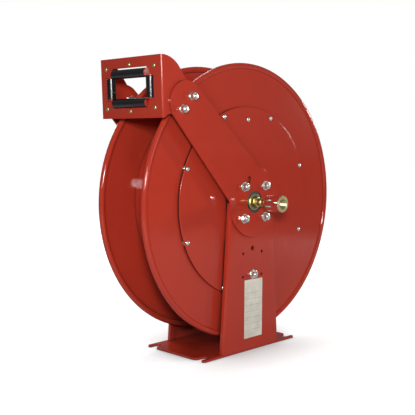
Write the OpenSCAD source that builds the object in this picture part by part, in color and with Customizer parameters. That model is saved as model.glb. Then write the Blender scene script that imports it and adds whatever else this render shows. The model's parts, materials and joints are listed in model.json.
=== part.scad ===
// Spring-rewind hose reel on two pedestals, with a roller guide on two arms.
// Frame: +Z up, Y along the spool's shaft with the inlet towards -Y, X across the discs
// with the hose guide towards -X. The origin is on the base's underside, below the shaft.
// Pieces on the near (inlet) and far (spring) sides are drawn in a side frame:
// x across, y up from the shaft, z outboard from the spool's middle plane.

/* [Spool] */
// Diameter of the two spool discs, over their rolled rims
disc_d = 610; // [560:2:640]
// Distance between the middles of the two rolled rims
spool_w = 134; // [126:1:136]
// Diameter of the wire-like roll round each disc's rim
rim_roll_d = 13; // [8:0.5:16]
// Outer diameter of the drum that the hose winds on
drum_d = 416; // [380:2:430]
// Diameter of the raised cover on each disc
cover_d = 419; // [400:1:440]
// Number of ratchet teeth, a multiple of four
ratchet_teeth = 12; // [8:4:16]

/* [Stand] */
// Height of the shaft above the floor
shaft_h = 335; // [332:1:360]
// Length of the base plate
base_l = 304; // [280:2:340]
// Width of the base plate, and distance over the two pedestals
base_w = 182; // [180:1:190]
// Thickness of the base, pedestal, arm and guide plates
plate_t = 4.8; // [4:0.2:6]
// Half width of a pedestal at the base
pedestal_foot_w = 94; // [90:1:110]
// Half width of a pedestal at the shaft
pedestal_top_w = 71; // [68:1:80]

/* [Hose guide] */
// Distance from the shaft to the two bolts at the end of a guide arm
arm_reach = 296; // [280:1:310]
// Thickness of the spacer between the far pedestal and its guide arm
spacer_t = 9.6; // [5:0.2:14]
// Height of the guide bracket's front plate
guide_h = 123; // [118:1:130]
// Lean of the guide bracket, its top away from the spool
guide_lean = 2.4; // [0:0.2:5]
// Diameter of the four guide rollers
roller_d = 18.8; // [15:0.2:19]

/* [Inlet] */
// Outer diameter of the two shafts
shaft_d = 38; // [34:1:40]
// Length of the polished swivel body
swivel_l = 39; // [30:1:50]
// Outer diameter of the swivel body
swivel_d = 36; // [30:1:40]

/* [Hidden] */
$fn = 64;

NEAR = -1;
FAR = 1;
eps = 0.01;

// Outboard planes of the side pieces
face_out = base_w / 2;
face_in = face_out - plate_t;
// An arm's inner and outer face; the far arm stands on its spacer
function arm_in(s) = face_out + (s == FAR ? spacer_t : 0);
function arm_out(s) = arm_in(s) + plate_t;
disc_t = 1.6;
disc_out = spool_w / 2 + 1.4;
disc_in = disc_out - disc_t;
cover_t = 2.5;
cover_out = disc_out + 6.3;
disc_r = disc_d / 2;
drum_r = drum_d / 2;
cover_r = cover_d / 2;
shaft_r = shaft_d / 2;
running_gap = 0.08;

// Four hub bolts on a square, 3/8 inch hardware
hub_bolt_pitch = 69.85;
bolt_r = 4.75;
bolt_hole_r = 5.2;
nut_af = 14.3;
nut_t = 8.2;
washer_r = 10.6;
lock_washer_r = 8.8;
washer_t = 2.2;
stud_end = 1.5;
head_t = 4;
head_r = 7.5;
bush_r = 24;

// Pedestal
flange_depth = 11.5;
bend_r = 5.5;
lip_w = 12;
lip_t = 3;
lip_stop = 82;
crown_w = 22;
crown_drop = 0.7;
pawl_drop = 162;
// Spare holes for the fittings that other models of the reel carry here
spare_hole_drop = 104;
spare_hole_x = 31;
spare_hole_drops = [114, 166];

// Guide bracket, in its own frame: x inboard, y along the shaft, z up the plate
guide_x = 271.5;
guide_up = 240.6;
guide_arc_r = 60.5;
guide_ear_r = 11;
arm_bolt_pitch = 37.5;
arm_axis_shift = 2;
// Middle of the window and its rollers along the shaft
window_y = 7;
window_w = 107.6;
window_h = 81.2;
lobe_w = 145.6;
lobe_h = 47.6;
pin_r = 3;
// The rollers' axes lie in the front plate; the long ones stand a little low
roller_x = plate_t / 2;
roller_up = 29.5;
roller_low = 0.85;
roller_side = 62;
roller_long = 102.4;
roller_short = 42.4;
ear_in = 51.6;
ear_t = 2;
shelf_up = 21.6;
pin_seat = 1.3;

// Cover screws
screw_ring_r = 201;
extra_screw_r = 181.5;

// Shaft, bush and swivel
function shaft_end(s) = arm_out(s) + 1.2;
shaft_bore_r = 12;
shaft_recess_r = 15;
shaft_recess = 4;
hub_flange_r = 82;
hub_flange_t = 6;
hub_screw_ring_r = 50;
hub_screw_hole_r = 4.2;
bearing_plate_t = 6.5;
bush_flange_r = 37;
bush_flange_t = 4.5;
swivel_in = 137;

// Spring motor
case_r = 150;
case_t = 2;
case_deep = 58;
spring_turns = 9;

function arc(cx, cy, r, a0, a1, n) =
  [for (i = [0:n]) let (a = a0 + (a1 - a0) * i / n) [cx + r * cos(a), cy + r * sin(a)]];
function polar(r, a) = [r * cos(a), r * sin(a)];

// A side frame: x across, y up from the shaft, z outboard
module side(s) {
  translate([0, 0, shaft_h]) mirror([0, s > 0 ? 1 : 0, 0]) rotate([90, 0, 0]) children();
}
// A plate or bar between two outboard planes of a side frame
module slab(z0, z1) { translate([0, 0, z0]) linear_extrude(z1 - z0) children(); }
module ring(r_out, r_in, z0, z1) {
  difference() {
    translate([0, 0, z0]) cylinder(r = r_out, h = z1 - z0);
    translate([0, 0, z0 - 1]) cylinder(r = r_in, h = z1 - z0 + 2);
  }
}
module hub_bolt_places() {
  for (x = [-1, 1], y = [-1, 1]) translate([x, y, 0] * hub_bolt_pitch / 2) children();
}
module round_places(count, r, first) {
  for (i = [0:count - 1]) rotate(first + i * 360 / count) translate([r, 0, 0]) children();
}
module hex(af, z0, z1) {
  translate([0, 0, z0]) cylinder(d = af / cos(30), h = z1 - z0, $fn = 6);
}
module nut(z0) {
  difference() {
    hex(nut_af, z0, z0 + nut_t);
    translate([0, 0, z0 - 1]) cylinder(r = bolt_r, h = nut_t + 2);
  }
}
// The guide bracket's frame
module guide_frame() {
  translate([-guide_x, 0, shaft_h + guide_up]) rotate([0, -guide_lean, 0]) children();
}

// ---- Stand ----

slot_w = 17;
slot_l = 16.5;
slot_y = 74;
base_corner_r = 4;
tongue_r = 9;

module base_outline() {
  half_l = base_l / 2;
  half_w = base_w / 2;
  difference() {
    union() {
      square([base_l - 2 * base_corner_r, base_w], center = true);
      square([base_l, base_w - 2 * base_corner_r], center = true);
      for (x = [-1, 1], y = [-1, 1])
        translate([x * (half_l - base_corner_r), y * (half_w - base_corner_r)])
          circle(base_corner_r);
    }
    for (x = [-1, 1], y = [-1, 1]) scale([x, y]) {
      translate([half_l - slot_l, slot_y - slot_w / 2]) square([slot_l + 1, slot_w]);
      translate([half_l - slot_l, slot_y]) circle(slot_w / 2);
      // the tongue between the slots has round corners
      translate([half_l - tongue_r, slot_y - slot_w / 2 - tongue_r])
        difference() {
          square(tongue_r + 1);
          circle(tongue_r);
        }
    }
  }
}
module base_plate() {
  color("firebrick") linear_extrude(plate_t) base_outline();
}

pedestal_slant = atan((pedestal_foot_w - pedestal_top_w) / shaft_h);
pedestal_foot = plate_t - shaft_h;
function pedestal_half(v) = pedestal_top_w - v * tan(pedestal_slant);

// Section of a folded edge: u runs to the outer edge, which is at 0
module folded_edge_section() {
  bend_top = face_out - crown_drop;
  inner_r = bend_r - plate_t;
  polygon(concat(
    [[-crown_w - 1, face_in], [-crown_w - 1, face_out], [-crown_w, face_out]],
    arc(-bend_r, bend_top - bend_r, bend_r, 90, 0, 6),
    [[0, face_out - flange_depth], [-plate_t, face_out - flange_depth]],
    arc(-bend_r, bend_top - bend_r, inner_r, 0, 90, 4),
    [[-crown_w, face_in]]
  ));
}
// The narrow lip that turns in from the flange below the hub
module lip_section() {
  translate([-lip_w, face_out - flange_depth]) square([lip_w - 1, lip_t]);
}
module pedestal_face() {
  inset = (crown_w + 0.5) / cos(pedestal_slant);
  polygon([
    [-pedestal_half(pedestal_foot) + inset, pedestal_foot],
    [pedestal_half(pedestal_foot) - inset, pedestal_foot],
    [pedestal_top_w - inset, 0], [-pedestal_top_w + inset, 0]
  ]);
}
module pedestal_head() {
  intersection() {
    circle(pedestal_top_w);
    translate([-100, -1]) square(200);
  }
}
module along_edge(stop) {
  edge_l = shaft_h / cos(pedestal_slant);
  intersection() {
    for (m = [0, 1]) mirror([m, 0, 0])
      translate([pedestal_top_w, 0, 0]) rotate([0, 0, pedestal_slant])
        rotate([90, 0, 0]) translate([0, 0, -10]) linear_extrude(edge_l + 20) children();
    translate([-150, pedestal_foot, 0]) cube([300, -stop - pedestal_foot, 200]);
  }
}
module pedestal(s) {
  color("firebrick") side(s) difference() {
    union() {
      slab(face_in, face_out) pedestal_face();
      slab(face_in, face_out) pedestal_head();
      along_edge(0) folded_edge_section();
      along_edge(lip_stop) lip_section();
    }
    translate([0, 0, face_in - 1]) {
      cylinder(r = bush_r + 0.2, h = plate_t + 2);
      hub_bolt_places() cylinder(r = bolt_hole_r, h = plate_t + 2);
      translate([0, -spare_hole_drop, 0]) cylinder(r = 5.5, h = plate_t + 2);
      for (x = [-spare_hole_x, spare_hole_x], drop = spare_hole_drops)
        translate([x, -drop, 0]) cylinder(r = 3.5, h = plate_t + 2);
      translate([0, -pawl_drop, 0]) cylinder(r = bolt_hole_r, h = plate_t + 2);
    }
  }
}
module pedestal_near() { pedestal(NEAR); }
module pedestal_far() { pedestal(FAR); }

// ---- Guide arms ----

arm_hub_r = 78.5;
arm_end_r = 44.5;
// In the arm's frame x runs out along the arm and y towards its lower edge
arm_root_low = 55.5;
arm_root_high = 66;
module arm_frame() { rotate(135) children(); }
module arm_outline() {
  circle(arm_hub_r);
  arm_frame() {
    polygon([
      [0, -arm_root_high], [arm_reach, -arm_end_r - arm_axis_shift],
      [arm_reach, arm_end_r - arm_axis_shift], [0, arm_root_low]
    ]);
    translate([arm_reach, -arm_axis_shift]) circle(arm_end_r);
  }
}
// Takes the pressed margin off one long edge of an arm
arm_margin_start = 85;
// Short upright slot in each arm above the hub
slot_r = 6.2;
slot_shift = 1.3;
module arm_margin(root, end, flip) {
  slant = atan((root - end) / arm_reach);
  mirror([0, flip, 0]) translate([0, root, 0]) rotate(-slant)
    translate([arm_margin_start, 0, plate_t]) rotate([90, 0, 90])
      linear_extrude(arm_reach - arm_margin_start)
        polygon([[-18, 0], [3, -0.8], [3, 1], [-18, 1]]);
}
module guide_arm(s) {
  color("firebrick") side(s) translate([0, 0, arm_in(s)]) difference() {
    slab(0, plate_t) arm_outline();
    arm_frame() {
      arm_margin(arm_root_low, arm_end_r - arm_axis_shift, 0);
      arm_margin(arm_root_high, arm_end_r + arm_axis_shift, 1);
    }
    arm_bolt_places() translate([0, 0, -1]) cylinder(r = bolt_hole_r, h = plate_t + 2);
    translate([0, 0, -1]) {
      cylinder(r = bush_r + 0.2, h = plate_t + 2);
      hub_bolt_places() cylinder(r = bolt_hole_r, h = plate_t + 2);
    }
    slab(-1, plate_t + 1) translate([-18.3, 50]) {
      for (y = [-slot_shift, slot_shift]) translate([0, y]) circle(slot_r);
      square([2 * slot_r, 2 * slot_shift], center = true);
    }
  }
}
module guide_arm_near() { guide_arm(NEAR); }
module guide_arm_far() { guide_arm(FAR); }

// The two bolts at each arm's end
module arm_bolt_places() {
  arm_frame() for (q = [-1, 1])
    translate([arm_reach, q * arm_bolt_pitch / 2 - arm_axis_shift, 0]) children();
}
module arm_bolts(s) {
  color("silver") side(s) translate([0, 0, arm_in(s)]) arm_bolt_places() {
    hex(nut_af, -plate_t - 6, -plate_t);
    translate([0, 0, -plate_t - eps])
      cylinder(r = bolt_r, h = 2 * plate_t + washer_t + nut_t + stud_end);
  }
}
module arm_nuts(s) {
  color("silver") side(s) translate([0, 0, arm_out(s)]) arm_bolt_places() {
    ring(lock_washer_r, bolt_r, 0, washer_t);
    nut(washer_t);
  }
}
module arm_bolts_near() { arm_bolts(NEAR); }
module arm_bolts_far() { arm_bolts(FAR); }
module arm_nuts_near() { arm_nuts(NEAR); }
module arm_nuts_far() { arm_nuts(FAR); }

// ---- Guide bracket and rollers ----

// Height of the arms' bolts in the bracket's frame
function in_guide(p) =
  let (dx = p[0] + guide_x, dz = p[1] - guide_up)
  [dx * cos(guide_lean) + dz * sin(guide_lean), dz * cos(guide_lean) - dx * sin(guide_lean)];
arm_end_high = in_guide([
  -(arm_reach - arm_bolt_pitch / 2 - arm_axis_shift) * cos(45),
  (arm_reach + arm_bolt_pitch / 2 + arm_axis_shift) * cos(45)]);
arm_end_low = in_guide([
  -(arm_reach + arm_bolt_pitch / 2 - arm_axis_shift) * cos(45),
  (arm_reach - arm_bolt_pitch / 2 + arm_axis_shift) * cos(45)]);

// Side view of the bracket: a square nose, a round brow, and an ear round the two bolts
module guide_side_outline() {
  polygon(concat(
    [[0, -guide_h / 2], [0, guide_h / 2]],
    arc(0, guide_h / 2 - guide_arc_r, guide_arc_r, 90, 35, 12),
    arc(arm_end_high[0], arm_end_high[1], guide_ear_r, 35, -48, 6),
    arc(arm_end_low[0], arm_end_low[1], guide_ear_r, -48, -100, 4),
    arc(20, -guide_h / 2 - 13, 20, 90, 138, 5)
  ));
}
// Plan view: a channel folded from one sheet
module guide_plan() {
  fold_r = 3.5;
  y_near = -face_out;
  y_far = arm_in(FAR);
  polygon(concat(
    [[120, y_far]],
    arc(fold_r, y_far - fold_r, fold_r, 90, 180, 6),
    arc(fold_r, y_near + fold_r, fold_r, 180, 270, 6),
    [[120, y_near], [120, y_near + plate_t], [plate_t, y_near + plate_t],
     [plate_t, y_far - plate_t], [120, y_far - plate_t]]
  ));
}
module rounded_cut(w, h) {
  r = 2;
  square([w - 2 * r, h], center = true);
  square([w, h - 2 * r], center = true);
  for (x = [-1, 1], y = [-1, 1]) translate([x * (w / 2 - r), y * (h / 2 - r)]) circle(r);
}
module window_outline() {
  translate([window_y, 0]) {
    rounded_cut(window_w, window_h);
    rounded_cut(lobe_w, lobe_h);
  }
}
// In the guide's frame, moved to the middle of the window
module window_frame() { guide_frame() translate([0, window_y, 0]) children(); }
screw_y = 75;
screw_up = 41;
screw_up_mid = 46.9;
module guide_screw_places() {
  for (z = [-1, 1]) {
    for (y = [-screw_y, screw_y]) translate([0, y, z * screw_up]) rotate([0, 90, 0]) children();
    translate([0, 0, z * screw_up_mid]) rotate([0, 90, 0]) children();
  }
}
module guide_bracket() {
  color("firebrick") difference() {
    guide_frame() difference() {
      intersection() {
        translate([0, 0, -guide_h]) linear_extrude(2 * guide_h) guide_plan();
        translate([0, 150, 0]) rotate([90, 0, 0]) linear_extrude(300) guide_side_outline();
      }
      translate([-1, 0, 0]) rotate([90, 0, 90]) linear_extrude(plate_t + 2) window_outline();
      for (p = [arm_end_high, arm_end_low])
        translate([p[0], 150, p[1]]) rotate([90, 0, 0]) cylinder(r = bolt_hole_r, h = 300);
    }
    window_frame() guide_screw_places()
      translate([0, 0, -1]) cylinder(r = 2.6, h = plate_t + 2);
  }
}
function long_roller_z(up) = up * roller_up - roller_low;
// Outline of an ear round a pin at the origin; its straight end is at the bracket's back
module ear_outline() {
  r = roller_d / 2 - 0.1;
  circle(r);
  translate([0, -r]) square([plate_t + ear_t - roller_x, 2 * r]);
}
// A folded bracket behind the front plate. Its ears pass through the window and hold
// one long roller and one end of the two short ones.
module roller_bracket(up) {
  side_out = 84;
  strip_up = 41;
  strip_top = 54;
  back = plate_t + ear_t;
  color("firebrick") window_frame() difference() {
    scale([1, 1, up]) {
      translate([plate_t, -side_out, strip_up])
        cube([ear_t, 2 * side_out, strip_top - strip_up]);
      for (m = [0, 1]) mirror([0, m, 0]) {
        translate([plate_t, ear_in, shelf_up])
          cube([ear_t, side_out - ear_in, strip_top - shelf_up]);
        intersection() {
          translate([roller_x, ear_in + ear_t, up * long_roller_z(up)]) rotate([90, 0, 0])
            linear_extrude(ear_t) ear_outline();
          translate([-20, 0, shelf_up]) cube(60);
        }
        translate([roller_x, roller_side, shelf_up]) linear_extrude(ear_t) ear_outline();
      }
    }
    long_pin(long_roller_z(up));
    for (m = [-1, 1]) short_pin(m * roller_side);
    guide_screw_places() translate([0, 0, plate_t - 1]) cylinder(r = 2.6, h = ear_t + 2);
  }
}
module roller_bracket_top() { roller_bracket(1); }
module roller_bracket_bottom() { roller_bracket(-1); }

// Round-head screw and nut through the front plate and a roller bracket
module guide_screws() {
  back = plate_t + ear_t;
  color("goldenrod") window_frame() guide_screw_places() {
    rotate_extrude($fn = 32) polygon(concat(
      [[0, eps], [0, -2.8]], arc(0, 2.2, 5, -90, -26, 5), [[4.5, eps]]));
    cylinder(r = 2.5, h = back + 5, $fn = 32);
    hex(8, back, back + 4);
  }
}
// The pins end in blind seats in the ears
module long_pin(z) {
  half = ear_in + pin_seat;
  translate([roller_x, half, z]) rotate([90, 0, 0]) cylinder(r = pin_r, h = 2 * half);
}
module short_pin(y) {
  half = shelf_up + pin_seat;
  translate([roller_x, y, -half]) cylinder(r = pin_r, h = 2 * half);
}
module roller_pins() {
  color("silver") window_frame() for (m = [-1, 1]) {
    long_pin(long_roller_z(m));
    short_pin(m * roller_side);
  }
}
// A roller along z, centred, with rounded ends
module roller(length) {
  r = roller_d / 2;
  edge = 1.2;
  rotate_extrude() polygon(concat(
    [[pin_r + running_gap, -length / 2]],
    arc(r - edge, -length / 2 + edge, edge, -90, 0, 4),
    arc(r - edge, length / 2 - edge, edge, 0, 90, 4),
    [[pin_r + running_gap, length / 2]]
  ));
}
module long_roller(up) {
  color("dimgray") window_frame() translate([roller_x, 0, long_roller_z(up)])
    rotate([90, 0, 0]) roller(roller_long);
}
module short_roller(m) {
  color("dimgray") window_frame() translate([roller_x, m * roller_side, 0])
    roller(roller_short);
}
module roller_top() { long_roller(1); }
module roller_bottom() { long_roller(-1); }
module roller_left() { short_roller(1); }
module roller_right() { short_roller(-1); }

// ---- Fixed pieces at the hubs ----

bearing_in = face_in - bearing_plate_t;
module hub_square() {
  half = hub_bolt_pitch / 2;
  square([2 * (half + head_r), 2 * half], center = true);
  square([2 * half, 2 * (half + head_r)], center = true);
  for (x = [-half, half], y = [-half, half]) translate([x, y]) circle(head_r);
}
// Holds the near bush's flange against the pedestal
module bearing_plate_near() {
  color("silver") side(NEAR) difference() {
    slab(bearing_in, face_in) hub_square();
    translate([0, 0, face_in - bush_flange_t])
      cylinder(r = bush_flange_r + 0.2, h = bush_flange_t + 1);
    translate([0, 0, bearing_in - 1]) cylinder(r = 30, h = bearing_plate_t + 2);
    translate([0, 0, bearing_in - 1])
      hub_bolt_places() cylinder(r = bolt_hole_r, h = bearing_plate_t + 2);
  }
}
module shaft_bush_near() {
  color("black") side(NEAR) difference() {
    union() {
      translate([0, 0, face_in - bush_flange_t]) cylinder(r = bush_flange_r, h = bush_flange_t);
      translate([0, 0, face_in - eps]) cylinder(r = bush_r, h = 2 * plate_t - 1);
    }
    cylinder(r = shaft_r + running_gap, h = 200);
  }
}
// Carries the arbor shaft, which doesn't turn
module arbor_plate_far() {
  color("silver") side(FAR) difference() {
    slab(bearing_in, face_in) hub_square();
    translate([0, 0, bearing_in - 1]) cylinder(r = shaft_r, h = bearing_plate_t + 2);
    translate([0, 0, bearing_in - 1])
      hub_bolt_places() cylinder(r = bolt_hole_r, h = bearing_plate_t + 2);
  }
}
// Round plate that carries the far arm clear of the pedestal
module arm_spacer_far() {
  color("firebrick") side(FAR) difference() {
    slab(face_out, arm_in(FAR)) circle(60);
    translate([0, 0, face_out - 1]) {
      cylinder(r = shaft_r, h = spacer_t + 2);
      hub_bolt_places() cylinder(r = bolt_hole_r, h = spacer_t + 2);
    }
  }
}
arbor_in = 4;
shaft_chamfer = 1.5;
module arbor_shaft() {
  end = shaft_end(FAR);
  color("silver") side(FAR) rotate_extrude() polygon([
    [0, arbor_in], [shaft_r, arbor_in], [shaft_r, end - shaft_chamfer],
    [shaft_r - shaft_chamfer, end], [0, end]
  ]);
}
module hub_bolts(s) {
  color("silver") side(s) hub_bolt_places() {
    translate([0, 0, bearing_in - head_t]) cylinder(r = head_r, h = head_t);
    translate([0, 0, bearing_in - eps])
      cylinder(r = bolt_r, h = arm_out(s) - bearing_in + washer_t + nut_t + stud_end);
  }
}
module hub_washers(s) {
  color("silver") side(s) translate([0, 0, arm_out(s)])
    hub_bolt_places() ring(washer_r, bolt_hole_r, 0, washer_t);
}
module hub_nuts(s) {
  color("silver") side(s) translate([0, 0, arm_out(s)]) hub_bolt_places() nut(washer_t);
}
module hub_bolts_near() { hub_bolts(NEAR); }
module hub_bolts_far() { hub_bolts(FAR); }
module hub_washers_near() { hub_washers(NEAR); }
module hub_washers_far() { hub_washers(FAR); }
module hub_nuts_near() { hub_nuts(NEAR); }
module hub_nuts_far() { hub_nuts(FAR); }

// ---- Spool ----

module cover_screw_places() {
  round_places(8, screw_ring_r, 22.5) children();
}
disc_hole_r = 34;
module disc(s) {
  roll_r = rim_roll_d / 2;
  color("firebrick") side(s) difference() {
    rotate_extrude($fn = 128) {
      translate([disc_hole_r, disc_in]) square([disc_r - rim_roll_d - disc_hole_r + 1, disc_t]);
      translate([disc_r - roll_r, spool_w / 2]) circle(roll_r, $fn = 32);
    }
    translate([0, 0, disc_in - 1]) {
      cover_screw_places() cylinder(r = 3.2, h = disc_t + 2, $fn = 32);
      rotate(90) translate([extra_screw_r, 0, 0]) cylinder(r = 3.2, h = disc_t + 2, $fn = 32);
      round_places(6, hub_screw_ring_r, 15) cylinder(r = hub_screw_hole_r, h = disc_t + 2, $fn = 32);
    }
  }
}
module disc_near() { disc(NEAR); }
module disc_far() { disc(FAR); }

cover_hole_r = 71.5;
// Dished cover: its round edge stands off the disc, its inner lip rests on it
module cover(s) {
  edge_r = cover_t / 2;
  color("firebrick") side(s) difference() {
    rotate_extrude($fn = 128) {
      translate([cover_hole_r, cover_out - cover_t])
        square([cover_r - edge_r - cover_hole_r, cover_t]);
      translate([cover_r - edge_r, cover_out - edge_r]) circle(edge_r, $fn = 24);
      translate([cover_hole_r, disc_out]) square([cover_t, cover_out - disc_out]);
    }
    translate([0, 0, cover_out - cover_t - 1]) {
      cover_screw_places() cylinder(r = 3.2, h = cover_t + 2, $fn = 32);
      rotate(90) translate([extra_screw_r, 0, 0]) cylinder(r = 3.2, h = cover_t + 2, $fn = 32);
    }
  }
}
module cover_near() { cover(NEAR); }
module cover_far() { cover(FAR); }

// Screw with a domed head, the spacer under the cover, and its nut inside the drum
module cover_screw(grip) {
  rotate_extrude($fn = 32) {
    polygon(concat(
      [[0, cover_out], [4.6, cover_out]], arc(0, cover_out - 3.6, 6.8, 40, 90, 5)));
    translate([0, disc_in - grip - 7]) square([3, cover_out - disc_in + grip + 7 + eps]);
    translate([2.9, disc_out]) square([5.1, cover_out - cover_t - disc_out]);
  }
  rotate(30) hex(9.6, disc_in - grip - 5, disc_in - grip);
}
module cover_screws(s) {
  color("silver") side(s) {
    cover_screw_places() cover_screw(drum_flange_t);
    rotate(90) translate([extra_screw_r, 0, 0]) cover_screw(0);
  }
}
module cover_screws_near() { cover_screws(NEAR); }
module cover_screws_far() { cover_screws(FAR); }

drum_t = 2;
drum_flange_t = 2.5;
outlet_angle = 225;
outlet_y = 34;
outlet_hole_r = 17;
module drum() {
  color("firebrick") side(NEAR) difference() {
    rotate_extrude($fn = 128) {
      translate([drum_r - drum_t, -disc_in]) square([drum_t, 2 * disc_in]);
      for (z = [-disc_in, disc_in - drum_flange_t])
        translate([drum_r - 20, z]) square([20, drum_flange_t]);
    }
    for (z = [-disc_in, disc_in - drum_flange_t]) translate([0, 0, z - 1])
      cover_screw_places() cylinder(r = 3.2, h = drum_flange_t + 2, $fn = 32);
    rotate(outlet_angle) translate([drum_r - 10, 0, outlet_y]) rotate([0, 90, 0])
      cylinder(r = outlet_hole_r, h = 20);
  }
}

hub_in = disc_in - hub_flange_t;
shaft_in = outlet_y + 16;
// Hollow shaft that the spool turns on, with the flange that carries the near disc
module inlet_shaft() {
  end = shaft_end(NEAR);
  color("goldenrod") side(NEAR) difference() {
    rotate_extrude() polygon([
      [shaft_bore_r, shaft_in], [shaft_r, shaft_in], [shaft_r, hub_in],
      [hub_flange_r, hub_in], [hub_flange_r, disc_in], [shaft_r, disc_in],
      [shaft_r, end - shaft_chamfer], [shaft_r - shaft_chamfer, end],
      [shaft_recess_r, end], [shaft_recess_r, end - shaft_recess],
      [shaft_bore_r, end - shaft_recess]
    ]);
    translate([0, 0, hub_in - 1])
      round_places(6, hub_screw_ring_r, 15) cylinder(r = hub_screw_hole_r, h = hub_flange_t + 2, $fn = 32);
  }
}
// Flange that carries the far disc on its bush
module far_hub() {
  color("silver") side(FAR) difference() {
    rotate_extrude() polygon([
      [bush_r + 0.2, hub_in - 12], [31, hub_in - 12], [31, hub_in],
      [hub_flange_r, hub_in], [hub_flange_r, disc_in], [bush_r + 0.2, disc_in]
    ]);
    translate([0, 0, hub_in - 1])
      round_places(6, hub_screw_ring_r, 15) cylinder(r = hub_screw_hole_r, h = hub_flange_t + 2, $fn = 32);
  }
}
module shaft_bush_far() {
  color("black") side(FAR) ring(bush_r + 0.2, shaft_r + running_gap, hub_in - 12, disc_in);
}
ratchet_base_t = 3;
// Button-head screws that clamp disc and hub, with the ratchet wheel on the near side
module hub_screws(s, packed) {
  out = disc_out + packed;
  color("silver") side(s) round_places(6, hub_screw_ring_r, 15) {
    rotate_extrude($fn = 32) polygon(concat(
      [[0, out], [6, out]], arc(0, out - 4.5, 7.5, 37, 90, 5)));
    translate([0, 0, hub_in - 8]) cylinder(r = 4, h = out - hub_in + 8 + eps, $fn = 32);
    hex(13, hub_in - 6.5, hub_in);
  }
}
module hub_screws_near() { hub_screws(NEAR, ratchet_base_t); }
module hub_screws_far() { hub_screws(FAR, 0); }

// Ratchet wheel: a cup with teeth round its open edge. Each tooth is steep on the side
// that meets the pawl when the spool winds in.
tooth_tip_r = 65;
tooth_root_r = 60.5;
tooth_in = face_in - 5.6;
tooth_out = face_in - 1.2;
tooth_pitch = 360 / ratchet_teeth;
// The steep side that the pawl's nose waits behind
nose_angle = -40;
module ratchet_outline() {
  land = 1.6;
  polygon([for (i = [0:ratchet_teeth - 1]) for (k = [0:4])
    let (a = nose_angle + i * tooth_pitch + (k == 0 ? 0 : land + (tooth_pitch - land) * (k - 1) / 4))
    polar(k == 0 ? tooth_root_r : tooth_tip_r - (tooth_tip_r - tooth_root_r) * (k - 1) / 4, a)]);
}
module ratchet_wheel() {
  cup_r = tooth_root_r - 3;
  color("dimgray") side(NEAR) difference() {
    union() {
      slab(tooth_in, tooth_out) ratchet_outline();
      translate([0, 0, disc_out]) cylinder(r = tooth_root_r - 0.5, h = tooth_out - disc_out);
    }
    translate([0, 0, disc_out + ratchet_base_t]) cylinder(r = cup_r, h = 30);
    translate([0, 0, disc_out - 1]) {
      cylinder(r = shaft_r + 0.2, h = 10);
      round_places(6, hub_screw_ring_r, 15) cylinder(r = hub_screw_hole_r, h = 10, $fn = 32);
    }
  }
}

// ---- Spring motor ----

module spring_case() {
  rim = 14;
  color("dimgray") side(FAR) difference() {
    union() {
      translate([0, 0, disc_in - case_deep]) cylinder(r = case_r, h = case_deep);
      translate([0, 0, disc_in - case_t]) cylinder(r = case_r + rim, h = case_t);
    }
    translate([0, 0, disc_in - case_deep + case_t])
      cylinder(r = case_r - case_t, h = case_deep);
    cylinder(r = shaft_r + 0.5, h = 200, center = true);
  }
}
// Flat spiral spring from the arbor out to the case
spring_r0 = shaft_r + 0.4;
spring_r1 = case_r - case_t - 1;
spring_strip = 1.2;
function spiral(r_off, n) = [for (i = [0:n]) let (t = i / n)
  polar(spring_r0 + (spring_r1 - spring_strip - spring_r0) * t + r_off,
        360 * spring_turns * t)];
module power_spring() {
  steps = spring_turns * 24;
  inside = spiral(0, steps);
  outside = spiral(spring_strip, steps);
  color("slategray") side(FAR)
    slab(disc_in - case_deep + case_t + 2, hub_in - 14)
      polygon(concat(inside, [for (i = [steps:-1:0]) outside[i]]));
}

// ---- Fluid path ----

elbow_r = 16;
pipe_r = 11.2;
pipe_bore_r = 9;
module riser_frame() {
  rotate(outlet_angle) translate([0, 0, outlet_y]) rotate([0, 90, 0]) children();
}
// Elbow on the shaft's inner end
module riser_elbow() {
  color("goldenrod") side(NEAR) difference() {
    union() {
      translate([0, 0, outlet_y - elbow_r - 4])
        cylinder(r = shaft_r + 5, h = hub_in - 2 - outlet_y + elbow_r + 4);
      riser_frame() cylinder(r = elbow_r, h = 40);
    }
    translate([0, 0, shaft_in]) cylinder(r = shaft_r, h = 60);
    translate([0, 0, outlet_y - elbow_r + 2]) cylinder(r = shaft_bore_r, h = 60);
    riser_frame() {
      cylinder(r = pipe_bore_r, h = 60);
      translate([0, 0, shaft_r + 8]) cylinder(r = pipe_r, h = 60);
    }
  }
}
module riser_pipe() {
  color("silver") side(NEAR) riser_frame()
    ring(pipe_r, pipe_bore_r, shaft_r + 8, drum_r - 16);
}
// Fitting through the drum for the hose's end
module hose_outlet() {
  in = drum_r - 24;
  seat = drum_r - drum_t - 1;
  color("goldenrod") side(NEAR) riser_frame() difference() {
    union() {
      translate([0, 0, in]) cylinder(r = 14, h = 38);
      hex(28, in + 28, in + 38);
      translate([0, 0, seat - 4]) cylinder(r = 19.5, h = 4);
    }
    translate([0, 0, in - 1]) cylinder(r = pipe_r, h = 9);
    translate([0, 0, in]) cylinder(r = pipe_bore_r, h = 60);
    translate([0, 0, in + 18]) cylinder(r = inlet_port_r, h = 30);
  }
}
inlet_port_r = 10.2;
inlet_port_l = 20;
port_lead = 1.2;

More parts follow.
